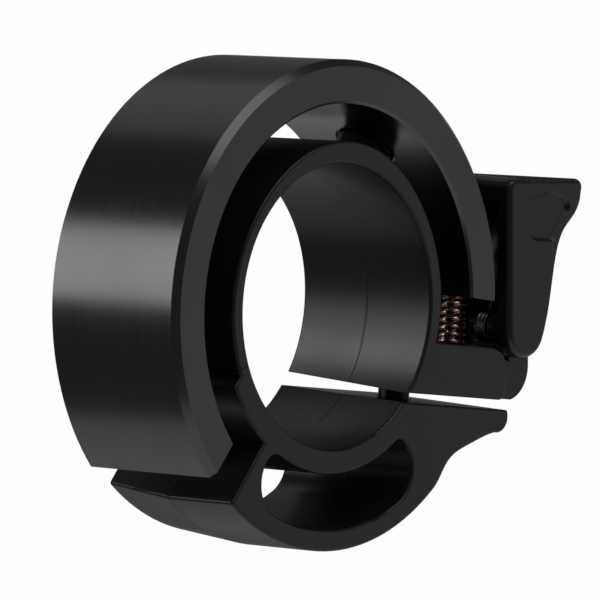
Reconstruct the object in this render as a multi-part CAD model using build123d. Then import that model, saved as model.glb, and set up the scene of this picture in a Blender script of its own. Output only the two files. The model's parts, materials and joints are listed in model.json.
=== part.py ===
from build123d import *
from math import asin, cos, degrees, radians, sin, sqrt, tan
import os

# Bicycle bell: a C-shaped bell ring carried on a handlebar clamp, with a thumb lever
# that throws a spring-mounted hammer against the ring.
# Frame: origin on the bar's axis, +X towards the lever, +Y along the bar, +Z up. Millimetres.

# ---- handlebar clamp -------------------------------------------------------------------
BORE_R = 11.1            # suits a 22.2 mm bar
BAND_R = 12.3            # outside of the upper arch at the flex line
ARCH_OUTSIDE = (         # radius and angle along the arch, which is thicker at the post
    (12.3, -20.0),
    (12.45, 18.0),
    (12.88, 70.0),
    (12.72, 97.0),
    (12.2, 140.0),
)
TAIL_R = 13.2            # outside of the thicker stretch below the flex line
BASE_R = 19.0            # outside of the lower body
CLAMP_FRONT = -6.35
CLAMP_BACK = 6.95
FLEX_DEG = 200.0         # where the thin arch bends as the clamp closes
FLEX_GAP = 0.06
TAIL_DEG = 204.0
SHOULDER_DEG = 228.85
SPLIT_SLOPE = -0.12      # the split runs slightly downhill towards the lug's nose
SPLIT_GAP = 0.75         # at the front
SPLIT_FLOOR_RISE = 0.073 # the block's floor climbs towards the back
SPLIT_LUG_RISE = 0.047   # the lug's top climbs less, so the split opens towards the back
SPLIT_FROM_X = 5.0
BLOCK_RIGHT = 20.35
BLOCK_CORNER_R = 0.6
BLOCK_FLOOR_AT_ORIGIN = -6.297
BACK_SHIFT = (0.695, 0.524)  # the lower body's back outline is offset, so it narrows backwards
BACK_SHIFT_TO_DEG = 304.0
EDGE_R = 0.25            # moulded edge rounding

# ---- cable channel ---------------------------------------------------------------------
CHANNEL_IN_R = 13.0
CHANNEL_OUT_R = 17.35
CHANNEL_FROM_DEG = 234.0
CHANNEL_TO_DEG = 305.5
CHANNEL_OUTER_R = 2.8    # corner radii of the channel
CHANNEL_LEFT_R = 1.2
CHANNEL_RIGHT_R = 0.8

# ---- bell ring -------------------------------------------------------------------------
RING_OUT_R = 19.15
RING_IN_R = 15.75
RING_HALF_W = 6.62
RING_RIGHT_END = (15.73, -0.2)
RING_RIGHT_DEG = -8.75
RING_LEFT_END = (-12.6, -9.6)
RING_OUT_CHAMFER = 0.52
RING_IN_CHAMFER = 0.2

# ---- ring mounting post ----------------------------------------------------------------
POST_DEG = 48.0
BOSS_R = 2.2
BOSS_TOP = 14.2
GROMMET_R = 2.05
GROMMET_TOP = 15.4
WASHER_R = 2.4
SPOTFACE_R = 2.6
SPOTFACE_AT = 15.9
SCREW_R = 1.25
SCREW_TIP = 11.8
SCREW_HEAD_R = 2.4
SCREW_HEAD_TOP = 19.0
SCREW_SOCKET_R = 0.9
SCREW_SOCKET_DEPTH = 1.2
THREAD_END_CHAMFER = 0.3
THREAD_CLEARANCE = 0.03

# ---- clamp bolt ------------------------------------------------------------------------
BOLT_X = 14.4
BOLT_R = 1.25
BOLT_HEAD_R = 2.25
BOLT_HEAD_H = 1.3
BOLT_HOLE_R = 1.45
BOLT_WASHER_R = 2.5
BOLT_WASHER_T = 0.4
BOLT_SEAT = 0.95         # lug thickness left above the washer
BOLT_SLACK = 0.1         # lets the lug tilt on the washer
BOLT_SOCKET_FLATS = 2.0
BOLT_SOCKET_DEPTH = 0.8
BOLT_HEAD_CHAMFER = 0.25
NUT_FLATS = 5.0
NUT_T = 2.0
NUT_FLOOR = 1.6          # block thickness left under the nut

# ---- lever and its pivot ---------------------------------------------------------------
PIVOT_X = 23.3
PIVOT_Z = -3.2
PIN_R = 0.75
PIN_CLEARANCE = 0.04
PIN_COVER = 0.5          # lever wall left over the pin's blind end
LEVER_FRONT = -6.2
LEVER_BACK = 6.8
LEVER_WALL = 1.2
LEVER_LEFT = 20.95
LEVER_LOBE_R = 2.35
LEVER_TOP_R = 0.85       # corner of the pad over the ring
LEVER_SWEEP_R = 2.75     # room kept free round the lobe
FOOT_ROOM_AT = (20.55, -3.3)  # room kept free round the hammer's foot
FOOT_ROOM = (4.7, 4.4, 6.4)
LEVER_EDGE_R = 0.55
HUB_R = 2.3              # middle hub of the lever on the pin
HUB_FRONT = -1.0
HUB_BACK = 3.4
EAR_R = 1.5
EAR_T = 1.6
EAR_SIDE_GAP = 0.2
EAR_FOOT_Z = -6.6
BRIDGE_X = 21.75         # bar between the side walls that carries the hammer foot
BRIDGE_Z = -4.8
BRIDGE_R = 0.5
BRIDGE_GAP = 0.1         # between the bridge and the coil
FOOT_LINK = (1.1, 3.4, 0.9)  # web between the bridge and the foot
FOOT_R = 1.45
FOOT_H = 1.3
RETURN_COIL_R = 1.45
RETURN_WIRE = 0.42
RETURN_LENGTH = 1.7
RIDGE_COUNT = 8
RIDGE_PITCH = 0.9
RIDGE_R = 0.42
RIDGE_FIRST_X = 23.2
RIDGE_LIFT = 0.2         # height of the grooves' axes over the pad
PAD_TOP_Z = 8.86         # at the front, over the ring
PAD_BACK_RISE = 0.5      # how much higher it is at the back
PAD_TIP = (29.65, 8.53)  # where the pad rounds off at its outer end
POCKET_DEPTH = 0.3
POCKET_TAPER = 45.0

# ---- hammer ----------------------------------------------------------------------------
STALK_BASE = (21.14, -4.7)
STALK_LEAN_DEG = 7.6
STALK_Y = 0.0
COIL_R = 1.1
COIL_WIRE = 0.5
COIL_LENGTH = 8.3
STUD_R = 0.55
STUD_DEPTH = 1.0         # of the stud in the foot
STUD_TOP = 1.6
HEAD_R = 2.2
HEAD_LOW = 7.3           # along the coil
HEAD_LENGTH = 4.2
HEAD_CHAMFER = 0.35
HEAD_PLUG = 1.6          # how far the head's plug reaches into the coil

CLAMP_MID = (CLAMP_FRONT + CLAMP_BACK) / 2
THROUGH = (-9, 9)        # longer than the bell along Y
THROUGH_FROM_FRONT = (-3, 16)
LEVER_INNER_FRONT = LEVER_FRONT + LEVER_WALL
LEVER_INNER_BACK = LEVER_BACK - LEVER_WALL
EAR_FRONT = LEVER_INNER_FRONT + EAR_SIDE_GAP
EAR_BACK = LEVER_INNER_BACK - EAR_SIDE_GAP


# ---- drawing helpers -------------------------------------------------------------------
def at(x, z):
    """A point of the XZ drawing plane."""
    return Vector(x, 0, z)


def polar(radius, angle):
    """A point of the XZ plane by radius and angle from +X towards +Z."""
    return at(radius * cos(radians(angle)), radius * sin(radians(angle)))


def arc(radius, start, end):
    """An arc about the bar's axis."""
    return ThreePointArc(polar(radius, start), polar(radius, (start + end) / 2), polar(radius, end))


def prism(face, y_low, y_high):
    """A face of the XZ plane stretched along Y."""
    return extrude(Pos(0, y_low, 0) * face, amount=y_high - y_low, dir=(0, 1, 0))


def sector(r_in, r_out, start, end):
    """A piece of an annulus in the XZ plane."""
    return make_face([
        arc(r_out, start, end),
        Line(polar(r_out, end), polar(r_in, end)),
        arc(r_in, end, start),
        Line(polar(r_in, start), polar(r_out, start)),
    ])


def rounded(points, radii):
    """A closed outline of straight runs with its own radius at each corner."""
    return make_face(FilletPolyline(*[at(x, z) for x, z in points], radius=radii, close=True))


def y_rod(x, z, radius, y_low, y_high):
    """A round bar parallel to the handlebar."""
    return Pos(x, (y_low + y_high) / 2, z) * Rot(90, 0, 0) * Cylinder(radius, y_high - y_low)


def tube(r_out, r_in, low, high):
    """A tube along its own Z from low to high."""
    height = high - low
    return Pos(0, 0, (low + high) / 2) * (Cylinder(r_out, height) - Cylinder(r_in, height * 1.1))


def rod(radius, low, high):
    """A round bar along its own Z from low to high."""
    return Pos(0, 0, (low + high) / 2) * Cylinder(radius, high - low)


def on_circle(point, angle, radius):
    """Where a line through point, heading at angle, leaves the circle about the origin."""
    ux = cos(radians(angle))
    uz = sin(radians(angle))
    along = point[0] * ux + point[1] * uz
    reach = sqrt(along**2 - point[0] ** 2 - point[1] ** 2 + radius**2) - along
    return at(point[0] + reach * ux, point[1] + reach * uz)


def angle_of(point):
    """The angle of a point of the XZ plane, from +X towards +Z."""
    return degrees(asin(point.Z / sqrt(point.X**2 + point.Z**2)))


def split_z(x, drop=0.0):
    """Height of the split's upper face at x, or of a plane that lies drop below it."""
    return BLOCK_FLOOR_AT_ORIGIN + SPLIT_SLOPE * x - drop * sqrt(1 + SPLIT_SLOPE**2)


# ---- frames of the radial post and of the bolt -----------------------------------------
post_frame = Plane(
    origin=(0, 0, 0),
    x_dir=(0, 1, 0),
    z_dir=(cos(radians(POST_DEG)), 0, sin(radians(POST_DEG))),
)
bolt_frame = Plane(
    origin=(BOLT_X, CLAMP_MID, split_z(BOLT_X)),
    x_dir=(0, 1, 0),
    z_dir=(-SPLIT_SLOPE, 0, 1),
)
stalk_frame = Plane(
    origin=(STALK_BASE[0], STALK_Y, STALK_BASE[1]),
    x_dir=(0, 1, 0),
    z_dir=(tan(radians(STALK_LEAN_DEG)), 0, 1),
)


# ---- bell ring -------------------------------------------------------------------------
def make_bell_ring():
    right_out = on_circle(RING_RIGHT_END, RING_RIGHT_DEG, RING_OUT_R)
    right_in = on_circle(RING_RIGHT_END, RING_RIGHT_DEG, RING_IN_R)
    left_out = on_circle(RING_LEFT_END, SHOULDER_DEG, RING_OUT_R)
    left_in = on_circle(RING_LEFT_END, SHOULDER_DEG, RING_IN_R)
    outline = make_face([
        ThreePointArc(right_out, polar(RING_OUT_R, 108), left_out),
        Line(left_out, left_in),
        ThreePointArc(left_in, polar(RING_IN_R, 108), right_in),
        Line(right_in, right_out),
    ])
    ring = prism(outline, -RING_HALF_W, RING_HALF_W)
    arcs = ring.edges().filter_by(GeomType.CIRCLE)
    outer = arcs.filter_by(lambda e: e.radius > RING_OUT_R - 0.1)
    ring = chamfer(outer, RING_OUT_CHAMFER)
    arcs = ring.edges().filter_by(GeomType.CIRCLE)
    inner = arcs.filter_by(lambda e: e.radius < RING_IN_R + 0.1)
    ring = chamfer(inner, RING_IN_CHAMFER)
    ring -= post_frame * rod(SCREW_R + 0.1, RING_IN_R - 1, RING_OUT_R + 1)
    ring -= post_frame * rod(SPOTFACE_R, RING_IN_R - 1.5, SPOTFACE_AT)
    sink_depth = SCREW_HEAD_R - SCREW_R
    sink = Cone(SCREW_R + 0.05, SCREW_HEAD_R + 0.05, sink_depth)
    ring -= post_frame * Pos(0, 0, SCREW_HEAD_TOP - sink_depth / 2) * sink
    ring -= post_frame * rod(SCREW_HEAD_R + 0.05, SCREW_HEAD_TOP, RING_OUT_R + 1)
    return ring


# ---- pieces of the ring's post ---------------------------------------------------------
def make_ring_grommet():
    return post_frame * tube(GROMMET_R, SCREW_R + 0.1, BOSS_TOP, GROMMET_TOP)


def make_ring_washer():
    return post_frame * tube(WASHER_R, SCREW_R + 0.1, GROMMET_TOP, SPOTFACE_AT)


def make_ring_screw():
    sink_depth = SCREW_HEAD_R - SCREW_R
    screw = rod(SCREW_R, SCREW_TIP, SCREW_HEAD_TOP - sink_depth)
    screw += Pos(0, 0, SCREW_HEAD_TOP - sink_depth / 2) * Cone(SCREW_R, SCREW_HEAD_R, sink_depth)
    socket = extrude(RegularPolygon(SCREW_SOCKET_R, 6), amount=2)
    screw -= Pos(0, 0, SCREW_HEAD_TOP - SCREW_SOCKET_DEPTH) * socket
    screw = chamfer(screw.edges().sort_by(Axis.Z)[0], THREAD_END_CHAMFER)
    return post_frame * screw


# ---- upper clamp half ------------------------------------------------------------------
def beyond_split(drop, rise, side):
    """What lies below (side -1) or above (side 1) a face of the split, right of the bore."""
    face = Plane(
        origin=(0, CLAMP_FRONT, split_z(0, drop)),
        x_dir=(1, 0, SPLIT_SLOPE),
        z_dir=(-SPLIT_SLOPE, -rise, 1),
    )
    length = 30
    height = 6
    middle = Pos(SPLIT_FROM_X + length / 2, length / 2 - 1, side * height / 2)
    return face * middle * Box(length, length, height)


def at_flex_line(edge):
    """Whether an edge lies along the flex line, where the two halves run into each other."""
    middle = edge.center()
    off_line = middle.X * sin(radians(FLEX_DEG)) - middle.Z * cos(radians(FLEX_DEG))
    return middle.X < 0 and abs(off_line) < FLEX_GAP


def soften_ends(body, radius):
    """Round the edges of a moulding's front and back faces, but not those of the flex line."""
    for y_face in (CLAMP_FRONT, CLAMP_BACK):
        rim = body.edges().filter_by_position(Axis.Y, y_face - 0.001, y_face + 0.001)
        body = fillet(rim.filter_by(at_flex_line, reverse=True), radius)
    return body


def band_outline():
    """The arch and the solid block right of the bore, between the split and the ring's end."""
    start = ARCH_OUTSIDE[0][1]
    end = FLEX_DEG - degrees(FLEX_GAP / 2 / BORE_R)
    under = BORE_R - 1
    arch = make_face([
        Spline(*[polar(radius, angle) for radius, angle in ARCH_OUTSIDE], polar(BAND_R, end)),
        Line(polar(BAND_R, end), polar(under, end)),
        arc(under, end, start),
        Line(polar(under, start), polar(*ARCH_OUTSIDE[0])),
    ])
    left = 7.4
    block = rounded(
        [
            (left, split_z(left)),
            (BLOCK_RIGHT, split_z(BLOCK_RIGHT)),
            (BLOCK_RIGHT, -5.0),
            (18.9, -4.38),
            (11.4, -3.49),
            (left, -3.2),
        ],
        [0, 0, 0.8, 2.0, 0, 0],
    )
    bore = make_face([arc(BORE_R, 0, 180), arc(BORE_R, 180, 360)])
    return arch + block - bore


def nose_outline():
    """The narrow nose that carries the ears, between the lever's side walls."""
    left = 19.3
    right = 25.05
    top = -5.1
    return rounded(
        [(left, split_z(left)), (right, split_z(right)), (right, top), (left, top)],
        [0, 2.7, 0, 0],
    )


def ear_outline():
    """One ear: a round eye on the pin, standing on the nose."""
    pivot = at(PIVOT_X, PIVOT_Z)
    left = pivot + polar(EAR_R, 225)
    right = pivot + polar(EAR_R, -50)
    foot_left = at(PIVOT_X - 0.4, EAR_FOOT_Z)
    foot_right = at(PIVOT_X + 0.9, EAR_FOOT_Z)
    return make_face([
        ThreePointArc(right, pivot + at(0, EAR_R), left),
        Line(left, foot_left),
        Line(foot_left, foot_right),
        Line(foot_right, right),
    ])


def make_clamp_band():
    body = prism(band_outline(), CLAMP_FRONT, CLAMP_BACK)
    body -= beyond_split(0, SPLIT_FLOOR_RISE, -1)
    right_edges = body.edges().filter_by(lambda e: e.center().X > BLOCK_RIGHT - 0.01)
    bottom_corner = right_edges.sort_by(Axis.Z)[0]
    body = fillet(bottom_corner, BLOCK_CORNER_R)
    body = soften_ends(body, EDGE_R)
    body += prism(nose_outline(), EAR_FRONT, EAR_BACK) - beyond_split(0, SPLIT_FLOOR_RISE, -1)
    # room for the lever's lobe and hammer foot as they swing
    body -= y_rod(PIVOT_X, PIVOT_Z, LEVER_SWEEP_R, *THROUGH)
    body -= Pos(FOOT_ROOM_AT[0], STALK_Y, FOOT_ROOM_AT[1]) * Box(*FOOT_ROOM)
    # ears, boss, pin bore and fixings
    for y_low in (EAR_FRONT, EAR_BACK - EAR_T):
        body += prism(ear_outline(), y_low, y_low + EAR_T)
    body -= y_rod(PIVOT_X, PIVOT_Z, PIN_R, *THROUGH)
    body += post_frame * rod(BOSS_R, (BORE_R + BAND_R) / 2, BOSS_TOP)
    body -= post_frame * rod(SCREW_R + THREAD_CLEARANCE, SCREW_TIP - 0.1, BOSS_TOP + 1)
    body -= bolt_frame * rod(BOLT_HOLE_R, -1, 9)
    pocket = extrude(RegularPolygon(NUT_FLATS / 2 + 0.05, 6, major_radius=False), amount=6)
    body -= bolt_frame * Pos(0, 0, NUT_FLOOR) * pocket
    return body


# ---- lower clamp half ------------------------------------------------------------------
def lug_top_z(x):
    """Height of the lug's top at the back, where it is highest."""
    return split_z(x, SPLIT_GAP) + SPLIT_LUG_RISE * (CLAMP_BACK - CLAMP_FRONT)


def base_outline():
    flex_half = degrees(FLEX_GAP / 2 / BORE_R)
    start = FLEX_DEG + flex_half
    bore_end = on_circle((2.0, lug_top_z(2.0)), degrees(SPLIT_SLOPE), BORE_R)
    bore_end_deg = 360 + angle_of(bore_end)
    tip_x = 19.5
    sweep_end_deg = 307.5
    underside = [
        polar(BASE_R, sweep_end_deg),
        at(13.4, -13.0),
        at(15.9, -11.95),
        at(19.2, -11.2),
    ]
    return make_face([
        arc(BORE_R, start, bore_end_deg),
        Line(bore_end, at(tip_x, lug_top_z(tip_x))),
        ThreePointArc(at(tip_x, lug_top_z(tip_x)), at(20.75, -10.0), underside[-1]),
        Spline(*reversed(underside), tangents=[(-1, 0, -0.1), (-0.79, 0, -0.61)]),
        arc(BASE_R, sweep_end_deg, SHOULDER_DEG),
        Line(polar(BASE_R, SHOULDER_DEG), polar(TAIL_R, SHOULDER_DEG)),
        arc(TAIL_R, SHOULDER_DEG, TAIL_DEG),
        Line(polar(TAIL_R, TAIL_DEG), polar(BAND_R, TAIL_DEG - 1.5)),
        arc(BAND_R, TAIL_DEG - 1.5, start),
        Line(polar(BAND_R, start), polar(BORE_R, start)),
    ])


def cable_channel():
    """The crescent passage through the lower body, with rounded corners."""
    channel = prism(
        sector(CHANNEL_IN_R, CHANNEL_OUT_R, CHANNEL_FROM_DEG, CHANNEL_TO_DEG), *THROUGH
    )
    corners = (
        (CHANNEL_IN_R, CHANNEL_FROM_DEG, CHANNEL_LEFT_R),
        (CHANNEL_OUT_R, CHANNEL_FROM_DEG, CHANNEL_OUTER_R),
        (CHANNEL_IN_R, CHANNEL_TO_DEG, CHANNEL_RIGHT_R),
        (CHANNEL_OUT_R, CHANNEL_TO_DEG, CHANNEL_OUTER_R),
    )
    for radius, angle, rounding in corners:
        corner = polar(radius, angle)
        edge = channel.edges().filter_by(Axis.Y).sort_by_distance((corner.X, 0, corner.Z))[0]
        channel = fillet(edge, rounding)
    return channel


def narrow_back():
    """What is taken off the lower body's back half so that its outline slants inwards."""
    middle = Plane(origin=(0, CLAMP_MID, 0), x_dir=(1, 0, 0), z_dir=(0, -1, 0))
    back = Plane(origin=(BACK_SHIFT[0], CLAMP_BACK, BACK_SHIFT[1]), x_dir=(1, 0, 0), z_dir=(0, -1, 0))
    kept = loft([middle * Circle(BASE_R), back * Circle(BASE_R)])
    rind = sector(CHANNEL_OUT_R + 0.1, BASE_R + 1, SHOULDER_DEG - 4, BACK_SHIFT_TO_DEG)
    return prism(rind, CLAMP_MID, CLAMP_BACK) - kept


def at_shoulder(edge):
    """Whether an edge runs along the shoulder under the ring's lower end."""
    corner = polar(BASE_R, SHOULDER_DEG)
    middle = edge.center()
    near = abs(middle.X - corner.X) < 1 and abs(middle.Z - corner.Z) < 1
    return near and edge.length > (CLAMP_BACK - CLAMP_FRONT) / 4


def make_clamp_base():
    body = prism(base_outline(), CLAMP_FRONT, CLAMP_BACK)
    body -= beyond_split(SPLIT_GAP, SPLIT_LUG_RISE, 1)
    body -= cable_channel()
    body -= narrow_back()
    body = fillet(body.edges().filter_by(at_shoulder), EDGE_R)
    body = soften_ends(body, EDGE_R)
    body -= bolt_frame * rod(BOLT_HOLE_R, -9, 2)
    seat = -SPLIT_GAP - BOLT_SEAT
    body -= bolt_frame * rod(BOLT_WASHER_R + 0.15, seat - 6, seat)
    return body


# ---- clamp bolt, washer and nut --------------------------------------------------------
def make_bolt_washer():
    seat = -SPLIT_GAP - BOLT_SEAT - BOLT_SLACK
    return bolt_frame * tube(BOLT_WASHER_R, BOLT_R + 0.1, seat - BOLT_WASHER_T, seat)


def make_clamp_bolt():
    under_head = -SPLIT_GAP - BOLT_SEAT - BOLT_SLACK - BOLT_WASHER_T
    tip = NUT_FLOOR + NUT_T + 0.2
    head = rod(BOLT_HEAD_R, under_head - BOLT_HEAD_H, under_head)
    head = chamfer(head.edges().sort_by(Axis.Z)[0], BOLT_HEAD_CHAMFER)
    socket = RegularPolygon(BOLT_SOCKET_FLATS / 2, 6, major_radius=False)
    socket = extrude(socket, amount=BOLT_SOCKET_DEPTH)
    head -= Pos(0, 0, under_head - BOLT_HEAD_H) * socket
    shank = rod(BOLT_R, under_head, tip)
    shank = chamfer(shank.edges().sort_by(Axis.Z)[-1], THREAD_END_CHAMFER)
    return bolt_frame * (head + shank)


def make_clamp_nut():
    nut = extrude(RegularPolygon(NUT_FLATS / 2, 6, major_radius=False), amount=NUT_T)
    nut -= rod(BOLT_R + THREAD_CLEARANCE, -1, NUT_T + 1)
    return bolt_frame * Pos(0, 0, NUT_FLOOR) * nut


# ---- lever -----------------------------------------------------------------------------
def lobe(angle):
    """A point of the lever's round lower end."""
    return at(
        PIVOT_X + LEVER_LOBE_R * cos(radians(angle)),
        PIVOT_Z + LEVER_LOBE_R * sin(radians(angle)),
    )


def lever_outline(pad_rise):
    """The lever's side view, with its thumb pad lifted by pad_rise over the ring."""
    lobe_end = -24.0
    pad_z = PAD_TOP_Z + pad_rise
    pad_right = at(30.42, 7.75)
    pad_top = at(*PAD_TIP)
    top_left = at(LEVER_LEFT + LEVER_TOP_R, pad_z)
    left_top = at(LEVER_LEFT, pad_z - LEVER_TOP_R)
    on_round = LEVER_TOP_R * (1 - cos(radians(45)))
    return make_face([
        Line(left_top, lobe(180)),
        ThreePointArc(lobe(180), lobe(258), lobe(lobe_end)),
        Spline(
            lobe(lobe_end),
            at(26.42, -1.06),
            at(27.1, 2.1),
            at(28.2, 4.48),
            at(29.55, 5.68),
            at(30.25, 6.9),
            tangents=[(0.4, 0, 0.9), (0.2, 0, 1)],
        ),
        Line(at(30.25, 6.9), pad_right),
        ThreePointArc(pad_right, at(30.24, 8.32), pad_top),
        Line(pad_top, top_left),
        ThreePointArc(top_left, at(LEVER_LEFT + on_round, pad_z - on_round), left_top),
    ])


def lever_cavity():
    """The hollow, open towards the ring and downwards."""
    return make_face([
        Line(at(18, 7.15), at(18, -8)),
        Line(at(18, -8), at(27, -8)),
        Line(at(27, -8), at(27, -4.85)),
        Line(at(27, -4.85), at(24.55, -3.76)),
        Spline(
            at(24.55, -3.76),
            at(25.2, -0.8),
            at(25.75, 2.0),
            at(26.75, 4.6),
            at(27.9, 6.2),
            tangents=[(0.25, 0, 1), (0.7, 0, 0.7)],
        ),
        Line(at(27.9, 6.2), at(27.5, 6.95)),
        Line(at(27.5, 6.95), at(18, 7.15)),
    ])


def pocket_outline():
    """The shallow rounded pocket on each side face."""
    return rounded(
        [(23.1, 7.2), (26.3, 7.8), (29.15, 6.75), (26.55, 3.55), (23.2, 3.9)],
        [1.5, 1.4, 0.8, 0.8, 1.4],
    )


def pocket(y_face, direction):
    """The pocket's volume, with slanting walls, going in from one side face."""
    opening = Pos(0, y_face, 0) * pocket_outline()
    return extrude(opening, amount=POCKET_DEPTH, dir=(0, direction, 0), taper=POCKET_TAPER)


def grip_groove(index):
    """One of the grooves across the thumb pad, climbing with it towards the back."""
    x = RIDGE_FIRST_X + index * RIDGE_PITCH
    share = (PAD_TIP[0] - x) / (PAD_TIP[0] - LEVER_LEFT - LEVER_TOP_R)
    z = PAD_TIP[1] + share * (PAD_TOP_Z - PAD_TIP[1]) + RIDGE_LIFT
    slope = share * PAD_BACK_RISE / (LEVER_BACK - LEVER_FRONT)
    along = Plane(origin=(x, LEVER_FRONT, z), x_dir=(1, 0, 0), z_dir=(0, 1, slope))
    return along * rod(RIDGE_R, *THROUGH_FROM_FRONT)


def make_trigger_lever():
    front = Pos(0, LEVER_FRONT, 0) * lever_outline(0)
    back = Pos(0, LEVER_BACK, 0) * lever_outline(PAD_BACK_RISE)
    body = loft([front, back], ruled=True)
    body = fillet(body.faces().filter_by(Axis.Y).edges(), LEVER_EDGE_R)
    body -= prism(lever_cavity(), LEVER_INNER_FRONT, LEVER_INNER_BACK)
    body -= y_rod(PIVOT_X, PIVOT_Z, EAR_R + 0.2, LEVER_INNER_FRONT, LEVER_INNER_BACK)
    body += y_rod(PIVOT_X, PIVOT_Z, HUB_R, HUB_FRONT, HUB_BACK)
    # bridge and foot that carry the hammer's stud
    clear = COIL_R + BRIDGE_GAP
    body += y_rod(BRIDGE_X, BRIDGE_Z, BRIDGE_R, LEVER_INNER_FRONT - 0.3, STALK_Y - clear)
    body += y_rod(BRIDGE_X, BRIDGE_Z, BRIDGE_R, STALK_Y + clear, LEVER_INNER_BACK + 0.3)
    body += stalk_frame * rod(FOOT_R, -FOOT_H, 0)
    body += Pos(BRIDGE_X - 0.15, STALK_Y, BRIDGE_Z - FOOT_LINK[2] / 2) * Box(*FOOT_LINK)
    body -= stalk_frame * rod(clear, 0, COIL_LENGTH)
    body -= stalk_frame * rod(STUD_R, -STUD_DEPTH, 1)
    body -= y_rod(PIVOT_X, PIVOT_Z, PIN_R + PIN_CLEARANCE, LEVER_FRONT + PIN_COVER, 9)
    body -= pocket(LEVER_FRONT, 1)
    body -= pocket(LEVER_BACK, -1)
    for index in range(RIDGE_COUNT):
        body -= grip_groove(index)
    return body


# ---- pivot pin and return spring -------------------------------------------------------
def make_pivot_pin():
    pin = y_rod(PIVOT_X, PIVOT_Z, PIN_R, LEVER_FRONT + PIN_COVER + 0.1, LEVER_BACK - 0.1)
    return chamfer(pin.edges().filter_by(GeomType.CIRCLE), 0.12)


def make_return_spring():
    """Torsion spring as a sleeve of its coil envelope."""
    y_low = EAR_FRONT + EAR_T + 0.1
    y_high = y_low + RETURN_LENGTH
    outer = y_rod(PIVOT_X, PIVOT_Z, RETURN_COIL_R, y_low, y_high)
    return outer - y_rod(PIVOT_X, PIVOT_Z, RETURN_COIL_R - RETURN_WIRE, y_low - 1, y_high + 1)


# ---- hammer ----------------------------------------------------------------------------
def make_spring_stud():
    return stalk_frame * rod(STUD_R, -STUD_DEPTH, STUD_TOP)


def make_hammer_spring():
    """Close-wound coil as a sleeve of its envelope."""
    return stalk_frame * tube(COIL_R, COIL_R - COIL_WIRE, 0.05, COIL_LENGTH)


def make_hammer_head():
    head = rod(HEAD_R, HEAD_LOW, HEAD_LOW + HEAD_LENGTH)
    head = chamfer(head.edges(), HEAD_CHAMFER)
    head -= rod(COIL_R + 0.02, HEAD_LOW - 1, COIL_LENGTH)
    head += rod(STUD_R, HEAD_LOW - HEAD_PLUG, COIL_LENGTH + 0.5)
    return stalk_frame * head


PARTS = {
    "bell_ring": make_bell_ring,
    "ring_grommet": make_ring_grommet,
    "ring_washer": make_ring_washer,
    "ring_screw": make_ring_screw,
    "clamp_band": make_clamp_band,
    "clamp_base": make_clamp_base,
    "bolt_washer": make_bolt_washer,
    "clamp_bolt": make_clamp_bolt,
    "clamp_nut": make_clamp_nut,
    "trigger_lever": make_trigger_lever,
    "pivot_pin": make_pivot_pin,
    "return_spring": make_return_spring,
    "spring_stud": make_spring_stud,
    "hammer_spring": make_hammer_spring,
    "hammer_head": make_hammer_head,
}

os.makedirs("parts", exist_ok=True)
for name, make in PARTS.items():
    shape = make()
    export_step(shape, f"parts/{name}.step")
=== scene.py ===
import json
import math

import bmesh
import bpy
from mathutils import Matrix, Vector


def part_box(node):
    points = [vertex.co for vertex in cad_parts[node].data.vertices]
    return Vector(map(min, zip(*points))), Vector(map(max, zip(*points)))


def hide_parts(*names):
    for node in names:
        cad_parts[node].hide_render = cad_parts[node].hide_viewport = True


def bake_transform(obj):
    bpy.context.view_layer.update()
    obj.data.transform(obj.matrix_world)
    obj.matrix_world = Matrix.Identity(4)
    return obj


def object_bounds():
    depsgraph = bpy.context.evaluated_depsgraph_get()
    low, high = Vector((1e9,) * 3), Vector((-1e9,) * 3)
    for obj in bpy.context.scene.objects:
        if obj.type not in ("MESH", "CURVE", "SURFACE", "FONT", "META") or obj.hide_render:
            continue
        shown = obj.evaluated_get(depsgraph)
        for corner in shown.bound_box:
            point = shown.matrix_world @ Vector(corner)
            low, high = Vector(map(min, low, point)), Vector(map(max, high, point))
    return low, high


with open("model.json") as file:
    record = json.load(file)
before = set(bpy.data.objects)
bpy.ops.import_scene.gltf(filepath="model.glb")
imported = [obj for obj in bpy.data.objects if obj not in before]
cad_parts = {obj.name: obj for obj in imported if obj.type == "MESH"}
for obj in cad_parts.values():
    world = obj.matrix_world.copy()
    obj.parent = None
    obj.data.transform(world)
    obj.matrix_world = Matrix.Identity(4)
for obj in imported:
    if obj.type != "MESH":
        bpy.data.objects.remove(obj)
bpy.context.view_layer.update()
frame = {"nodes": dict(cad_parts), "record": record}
nodes = frame["nodes"]
MM = 0.001

# ---- sizes taken over from the design, in metres ---------------------------------------
STALK_LEAN = math.tan(math.radians(7.6))
STALK_BASE = Vector((0.02114, 0.0, -0.0047))
COIL_WIRE = 0.50 * MM
COIL_LENGTH = 8.3 * MM
COIL_END_ROOM = 0.05 * MM      # between the coil's first turn and the lever's foot
COIL_RISING_TURNS = 12.5
COIL_FLAT_TURNS = 0.75         # closed ends, at the bottom and at the top
RETURN_WIRE = 0.42 * MM
RETURN_START_DEG = 250
RETURN_TURN_DEG = 3 * 360 + 170
BLOCK_LEG = Vector((0, 0, -1.30 * MM))
LEVER_LEG = Vector((0.95 * MM, 0, 1.50 * MM))
STEPS_PER_TURN = 28            # of both coils
WIRE_SIDES = 12
TIP_WIDTH = 0.6                # of the wire's radius, at the flat of its rounded end
TIP_RISE = 0.4                 # of the wire's radius
PARTING_LINE_Y = 0.3 * MM
PARTING_LINE_HALF_WIDTH = 0.16 * MM
PARTING_LINE_RISE = 4.0        # of the grain's height
GRAIN_DEPTH = 0.02 * MM        # height of the fine marks on plastic and metal

# ---- camera, matching the direction and framing of the reference view -------------------
CAMERA_AZIMUTH = math.radians(-48.76)
CAMERA_ELEVATION = math.radians(4.56)
CAMERA_DISTANCE = 0.540
CAMERA_LENS = 415.6
CAMERA_SHIFT = (0.0377, 0.0041)


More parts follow.
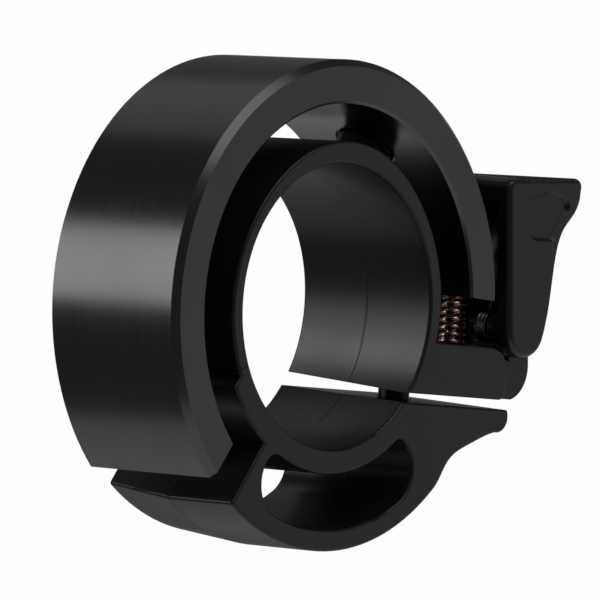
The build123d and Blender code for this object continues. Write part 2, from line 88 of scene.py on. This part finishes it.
def make_camera():
    data = bpy.data.cameras.new("camera")
    data.lens = CAMERA_LENS
    data.sensor_width = 36.0
    data.shift_x, data.shift_y = CAMERA_SHIFT
    data.clip_start = 0.01
    camera = bpy.data.objects.new("camera", data)
    bpy.context.scene.collection.objects.link(camera)
    back = Vector((
        math.sin(CAMERA_AZIMUTH) * math.cos(CAMERA_ELEVATION),
        -math.cos(CAMERA_AZIMUTH) * math.cos(CAMERA_ELEVATION),
        math.sin(CAMERA_ELEVATION),
    ))
    camera.location = back * CAMERA_DISTANCE
    camera.rotation_euler = back.to_track_quat("Z", "Y").to_euler()
    bpy.context.scene.camera = camera


# ---- stage: floor, backdrop and soft lights ---------------------------------------------
FLOOR_DROP = 0.4 * MM          # under the bell's lowest point
FLOOR_HALF = 3.0
BACKDROP_RADIUS = 4.5
STAGE_WHITE = 0.985
BOUNCE_FROM = (0.06, -0.03, -1.0)
BOUNCE_DISTANCE = 0.36
BOUNCE_SIZE = (1.05, 1.1)
BOUNCE_ROLL = (0.75, 0.66, 0)
CLAMP_NODES = ("clamp_band", "clamp_base")


def glowing_white(name, strength):
    material = bpy.data.materials.new(name)
    material.use_nodes = True
    shader = material.node_tree.nodes["Principled BSDF"]
    shader.inputs["Base Color"].default_value = (0.02, 0.02, 0.02, 1)
    shader.inputs["Roughness"].default_value = 1.0
    shader.inputs["Specular IOR Level"].default_value = 0.0
    shader.inputs["Emission Color"].default_value = (1, 1, 1, 1)
    shader.inputs["Emission Strength"].default_value = strength
    return material


def stage_piece(name, mesh, material):
    """Adds floor or backdrop: it is seen, but it neither lights nor shades the bell."""
    piece = bpy.data.objects.new(name, mesh)
    bpy.context.scene.collection.objects.link(piece)
    mesh.materials.append(material)
    piece.visible_diffuse = False
    piece.visible_glossy = False
    piece.visible_transmission = False
    piece.visible_shadow = False


def make_stage():
    half = FLOOR_HALF
    floor_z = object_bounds()[0][2] - FLOOR_DROP
    floor = bpy.data.meshes.new("floor")
    floor.from_pydata(
        [(x * half, y * half, floor_z) for x, y in ((-1, -1), (1, -1), (1, 1), (-1, 1))],
        [],
        [(0, 1, 2, 3)],
    )
    stage_piece("floor", floor, glowing_white("pale_floor", STAGE_WHITE))
    shell = bmesh.new()
    bmesh.ops.create_uvsphere(shell, u_segments=48, v_segments=24, radius=BACKDROP_RADIUS)
    backdrop = bpy.data.meshes.new("backdrop")
    shell.to_mesh(backdrop)
    shell.free()
    stage_piece("backdrop", backdrop, glowing_white("pale_backdrop", STAGE_WHITE))


def panel_light(name, direction, distance, size, radiance, roll_axis=(0, 0, 1)):
    """A rectangular softbox that faces the bell; size is across and along roll_axis."""
    data = bpy.data.lights.new(name, "AREA")
    data.shape = "RECTANGLE"
    data.size, data.size_y = size
    data.energy = radiance * math.pi * size[0] * size[1]
    light = bpy.data.objects.new(name, data)
    bpy.context.scene.collection.objects.link(light)
    light.visible_camera = False
    back = Vector(direction).normalized()
    across = Vector(roll_axis).cross(back).normalized()
    up = back.cross(across)
    turn = Matrix((across, up, back)).transposed().to_4x4()
    light.matrix_world = Matrix.Translation(back * distance) @ turn
    return light


def heading(azimuth, elevation):
    """Unit vector from degrees: azimuth from +X towards +Y, elevation upwards."""
    flat = math.cos(math.radians(elevation))
    return (
        math.cos(math.radians(azimuth)) * flat,
        math.sin(math.radians(azimuth)) * flat,
        math.sin(math.radians(elevation)),
    )


def link_light(light, names, state):
    """Makes a light reach only the named nodes (INCLUDE) or all but them (EXCLUDE)."""
    takers = bpy.data.collections.new(light.name + "_takers")
    for name in names:
        takers.objects.link(nodes[name])
    for entry in takers.collection_objects:
        entry.light_linking.link_state = state
    light.light_linking.receiver_collection = takers


def make_lights():
    world = bpy.data.worlds.new("studio")
    bpy.context.scene.world = world
    world.use_nodes = True
    background = world.node_tree.nodes["Background"]
    background.inputs["Color"].default_value = (1, 1, 1, 1)
    background.inputs["Strength"].default_value = 0.105
    # upright softbox behind the left: the bright stripe on the ring and the glow in the bore
    panel_light("stripe", heading(137, 14.2), 1.2, (0.26, 0.55), 3.4)
    # fill on the front faces
    panel_light("front_fill", heading(-41, -4.5), 1.0, (0.95, 0.95), 0.31)
    # overhead panel in front: edges and chamfer
    panel_light("top_front", (0.05, -0.5, 0.86), 1.0, (0.95, 0.35), 1.5, (0, 1, 0.6))
    # overhead panel behind
    panel_light("top_back", heading(72, 47), 1.0, (0.55, 0.30), 0.32)
    # light that comes back from the floor, under the bell and beyond it; the clamp gets less
    for name, radiance, state in (("floor_bounce", 0.46, "EXCLUDE"), ("clamp_bounce", 0.29, "INCLUDE")):
        bounce = panel_light(name, BOUNCE_FROM, BOUNCE_DISTANCE, BOUNCE_SIZE, radiance, BOUNCE_ROLL)
        link_light(bounce, CLAMP_NODES, state)
    panel_light("far_floor", heading(41, -6), 1.0, (1.2, 0.38), 0.36)
    # a small panel for the arch only: the pale patch at the bottom of the bore
    glow = panel_light("bore_glow", heading(124, 30), 1.0, (0.46, 0.30), 3.8)
    link_light(glow, ("clamp_band",), "INCLUDE")


# ---- helpers for materials --------------------------------------------------------------
def new_material(name):
    material = bpy.data.materials.new(name)
    material.use_nodes = True
    tree = material.node_tree
    return material, tree, tree.nodes["Principled BSDF"]


def coordinates(tree, scale):
    where = tree.nodes.new("ShaderNodeTexCoord")
    mapping = tree.nodes.new("ShaderNodeMapping")
    mapping.inputs["Scale"].default_value = scale
    tree.links.new(where.outputs["Object"], mapping.inputs["Vector"])
    return mapping.outputs["Vector"]


def noise(tree, vector, scale, detail=3.0, roughness=0.5):
    texture = tree.nodes.new("ShaderNodeTexNoise")
    texture.inputs["Scale"].default_value = scale
    texture.inputs["Detail"].default_value = detail
    texture.inputs["Roughness"].default_value = roughness
    tree.links.new(vector, texture.inputs["Vector"])
    return texture.outputs["Fac"]


def ramp(tree, value, stops):
    node = tree.nodes.new("ShaderNodeValToRGB")
    elements = node.color_ramp.elements
    for index, (position, colour) in enumerate(stops):
        element = elements[index] if index < 2 else elements.new(position)
        element.position = position
        element.color = (*colour, 1)
    tree.links.new(value, node.inputs["Fac"])
    return node.outputs["Color"]


def spread(tree, value, low, high):
    node = tree.nodes.new("ShaderNodeMapRange")
    node.inputs["To Min"].default_value = low
    node.inputs["To Max"].default_value = high
    tree.links.new(value, node.inputs["Value"])
    return node.outputs["Result"]


def bump(tree, shader, height, strength, distance=GRAIN_DEPTH):
    node = tree.nodes.new("ShaderNodeBump")
    node.inputs["Strength"].default_value = strength
    node.inputs["Distance"].default_value = distance
    tree.links.new(height, node.inputs["Height"])
    tree.links.new(node.outputs["Normal"], shader.inputs["Normal"])


# ---- materials --------------------------------------------------------------------------
def anodised():
    """Black anodised aluminium with fine turning lines that run round the ring."""
    material, tree, shader = new_material("ring_metal")
    lines = noise(tree, coordinates(tree, (90, 7500, 90)), 1.0, 3.0, 0.6)
    cloud = noise(tree, coordinates(tree, (1, 1, 1)), 150.0, 4.0)
    tone = ramp(tree, lines, [(0.3, (0.080, 0.080, 0.081)), (0.7, (0.094, 0.094, 0.095))])
    tree.links.new(tone, shader.inputs["Base Color"])
    shader.inputs["Metallic"].default_value = 1.0
    mixed = tree.nodes.new("ShaderNodeMix")
    mixed.inputs["Factor"].default_value = 0.45
    tree.links.new(lines, mixed.inputs["A"])
    tree.links.new(cloud, mixed.inputs["B"])
    tree.links.new(spread(tree, mixed.outputs["Result"], 0.17, 0.29), shader.inputs["Roughness"])
    bump(tree, shader, lines, 0.10)
    return material


def parting_line(tree, offset, half_width):
    """1 on the mould's parting line, the plane y = offset, falling to 0 beside it."""
    where = tree.nodes.new("ShaderNodeTexCoord")
    split = tree.nodes.new("ShaderNodeSeparateXYZ")
    tree.links.new(where.outputs["Object"], split.inputs["Vector"])
    shifted = tree.nodes.new("ShaderNodeMath")
    shifted.operation = "SUBTRACT"
    tree.links.new(split.outputs["Y"], shifted.inputs[0])
    shifted.inputs[1].default_value = offset
    away = tree.nodes.new("ShaderNodeMath")
    away.operation = "ABSOLUTE"
    tree.links.new(shifted.outputs["Value"], away.inputs[0])
    fade = tree.nodes.new("ShaderNodeMapRange")
    fade.interpolation_type = "SMOOTHSTEP"
    fade.inputs["From Min"].default_value = 0.0
    fade.inputs["From Max"].default_value = half_width
    fade.inputs["To Min"].default_value = 1.0
    fade.inputs["To Max"].default_value = 0.0
    tree.links.new(away.outputs["Value"], fade.inputs["Value"])
    return fade.outputs["Result"]


def moulded(name, tint, roughness_low, roughness_high, line_at=None):
    """Black moulded nylon: fine spark-eroded texture, a slight sheen and flow marks."""
    material, tree, shader = new_material(name)
    grain = noise(tree, coordinates(tree, (1, 1, 1)), 4200.0, 3.0)
    cloud = noise(tree, coordinates(tree, (1, 0.6, 1)), 130.0, 4.0, 0.6)
    dark = tuple(channel * 0.82 for channel in tint)
    tone = ramp(tree, cloud, [(0.3, dark), (0.7, tint)])
    tree.links.new(tone, shader.inputs["Base Color"])
    tree.links.new(spread(tree, cloud, roughness_low, roughness_high), shader.inputs["Roughness"])
    shader.inputs["Specular IOR Level"].default_value = 0.44
    height = grain
    if line_at is not None:
        line = parting_line(tree, line_at, PARTING_LINE_HALF_WIDTH)
        raised = tree.nodes.new("ShaderNodeMath")
        raised.operation = "MULTIPLY_ADD"
        tree.links.new(line, raised.inputs[0])
        raised.inputs[1].default_value = PARTING_LINE_RISE
        tree.links.new(grain, raised.inputs[2])
        height = raised.outputs["Value"]
    bump(tree, shader, height, 0.22)
    return material


def metal(name, colour, roughness_low, roughness_high, lines):
    """Plain metal with fine tool marks; lines is the scale of the marks along X, Y and Z."""
    material, tree, shader = new_material(name)
    marks = noise(tree, coordinates(tree, lines), 1.0, 3.0)
    dark = tuple(channel * 0.8 for channel in colour)
    tone = ramp(tree, marks, [(0.25, dark), (0.75, colour)])
    tree.links.new(tone, shader.inputs["Base Color"])
    shader.inputs["Metallic"].default_value = 1.0
    tree.links.new(spread(tree, marks, roughness_low, roughness_high), shader.inputs["Roughness"])
    bump(tree, shader, marks, 0.05)
    return material


def soft_rubber():
    material, tree, shader = new_material("rubber")
    grain = noise(tree, coordinates(tree, (1, 1, 1)), 4000.0, 4.0)
    tone = ramp(tree, grain, [(0.3, (0.012, 0.012, 0.012)), (0.7, (0.02, 0.02, 0.02))])
    tree.links.new(tone, shader.inputs["Base Color"])
    tree.links.new(spread(tree, grain, 0.6, 0.8), shader.inputs["Roughness"])
    bump(tree, shader, grain, 0.2, 2 * GRAIN_DEPTH)
    return material


MATERIALS = {
    "ring_metal": anodised(),
    "clamp_plastic": moulded("clamp_plastic", (0.0140, 0.0118, 0.0150), 0.27, 0.42, PARTING_LINE_Y),
    "lever_plastic": moulded("lever_plastic", (0.0120, 0.0103, 0.0128), 0.27, 0.40),
    "rubber": soft_rubber(),
    "bright_steel": metal("bright_steel", (0.62, 0.62, 0.63), 0.18, 0.34, (3000, 3000, 3000)),
    "black_steel": metal("black_steel", (0.045, 0.045, 0.048), 0.30, 0.45, (3000, 3000, 3000)),
    "spring_steel": metal("spring_steel", (0.30, 0.29, 0.29), 0.20, 0.34, (2500, 2500, 2500)),
    "spring_bronze": metal("spring_bronze", (0.93, 0.66, 0.58), 0.14, 0.26, (2500, 2500, 2500)),
    "hammer_brass": metal("hammer_brass", (0.60, 0.42, 0.20), 0.22, 0.36, (1500, 1500, 9000)),
}


def paint_nodes():
    slots = {part["node"]: part["material_slot"] for part in frame["record"]["subparts"]}
    for name, node in nodes.items():
        material = MATERIALS[slots[name]]
        if not node.material_slots:
            node.data.materials.append(material)
        for place in node.material_slots:
            place.material = material


# ---- springs ----------------------------------------------------------------------------
def swept_wire(name, points, radius):
    """A round wire along a chain of points, as a closed mesh with rounded ends."""
    mesh = bmesh.new()
    rings = []
    count = len(points)
    normal = None
    for index, point in enumerate(points):
        before = points[max(index - 1, 0)]
        after = points[min(index + 1, count - 1)]
        tangent = (after - before).normalized()
        if normal is None:
            normal = tangent.orthogonal().normalized()
        normal = (normal - tangent * normal.dot(tangent)).normalized()
        across = tangent.cross(normal)
        ring = []
        for side in range(WIRE_SIDES):
            angle = 2 * math.pi * side / WIRE_SIDES
            offset = normal * math.cos(angle) + across * math.sin(angle)
            ring.append(mesh.verts.new(point + offset * radius))
        rings.append(ring)
    for first, second in zip(rings, rings[1:]):
        for side in range(WIRE_SIDES):
            following = (side + 1) % WIRE_SIDES
            mesh.faces.new((first[side], first[following], second[following], second[side]))
    for end, beside in ((0, 1), (-1, -2)):
        ring = rings[end]
        point = points[end]
        outward = (point - points[beside]).normalized() * radius * TIP_RISE
        inner = [mesh.verts.new(point + (v.co - point) * TIP_WIDTH + outward) for v in ring]
        for side in range(WIRE_SIDES):
            following = (side + 1) % WIRE_SIDES
            mesh.faces.new((ring[side], ring[following], inner[following], inner[side]))
        mesh.faces.new(inner)
    bmesh.ops.recalc_face_normals(mesh, faces=mesh.faces)
    for face in mesh.faces:
        face.smooth = True
    data = bpy.data.meshes.new(name)
    mesh.to_mesh(data)
    mesh.free()
    piece = bpy.data.objects.new(name, data)
    bpy.context.scene.collection.objects.link(piece)
    return piece


def make_hammer_coil():
    """The close-wound bronze coil between the lever's foot and the hammer."""
    low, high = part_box("hammer_spring")
    axis = Vector((STALK_LEAN, 0, 1)).normalized()
    across = Vector((0, 1, 0))
    side = across.cross(axis)
    coil_radius = (high.y - low.y) / 2 - COIL_WIRE / 2
    first = STALK_BASE + axis * (COIL_END_ROOM + COIL_WIRE / 2)
    length = COIL_LENGTH - COIL_WIRE - COIL_END_ROOM
    total = int((COIL_RISING_TURNS + 2 * COIL_FLAT_TURNS) * STEPS_PER_TURN)
    points = []
    for step in range(total + 1):
        turns = step / STEPS_PER_TURN
        angle = 2 * math.pi * turns
        share = (turns - COIL_FLAT_TURNS) / COIL_RISING_TURNS
        rise = length * min(max(share, 0.0), 1.0)
        around = side * (coil_radius * math.cos(angle)) + across * (coil_radius * math.sin(angle))
        points.append(first + axis * rise + around)
    coil = swept_wire("hammer_coil", points, COIL_WIRE / 2)
    coil.data.materials.append(MATERIALS["spring_bronze"])
    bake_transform(coil)
    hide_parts("hammer_spring")


def make_return_coil():
    """The torsion spring round the pivot pin, with one leg on the block and one on the lever."""
    low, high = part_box("return_spring")
    centre = (low + high) / 2
    radius = (high.x - low.x) / 2 - RETURN_WIRE / 2
    front = low.y + RETURN_WIRE / 2
    width = high.y - low.y - RETURN_WIRE
    first_angle = math.radians(RETURN_START_DEG)
    last_angle = first_angle + math.radians(RETURN_TURN_DEG)
    total = int(RETURN_TURN_DEG / 360 * STEPS_PER_TURN)

    def on_coil(angle, y):
        return Vector((centre.x + radius * math.cos(angle), y, centre.z + radius * math.sin(angle)))

    points = [on_coil(first_angle, front) + BLOCK_LEG]
    for step in range(total + 1):
        share = step / total
        angle = first_angle + (last_angle - first_angle) * share
        points.append(on_coil(angle, front + width * share))
    points.append(on_coil(last_angle, front + width) + LEVER_LEG)
    coil = swept_wire("return_coil", points, RETURN_WIRE / 2)
    coil.data.materials.append(MATERIALS["spring_steel"])
    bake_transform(coil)
    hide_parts("return_spring")


make_camera()
make_stage()
make_lights()
paint_nodes()
make_hammer_coil()
make_return_coil()

bpy.context.scene.view_settings.view_transform = "Standard"
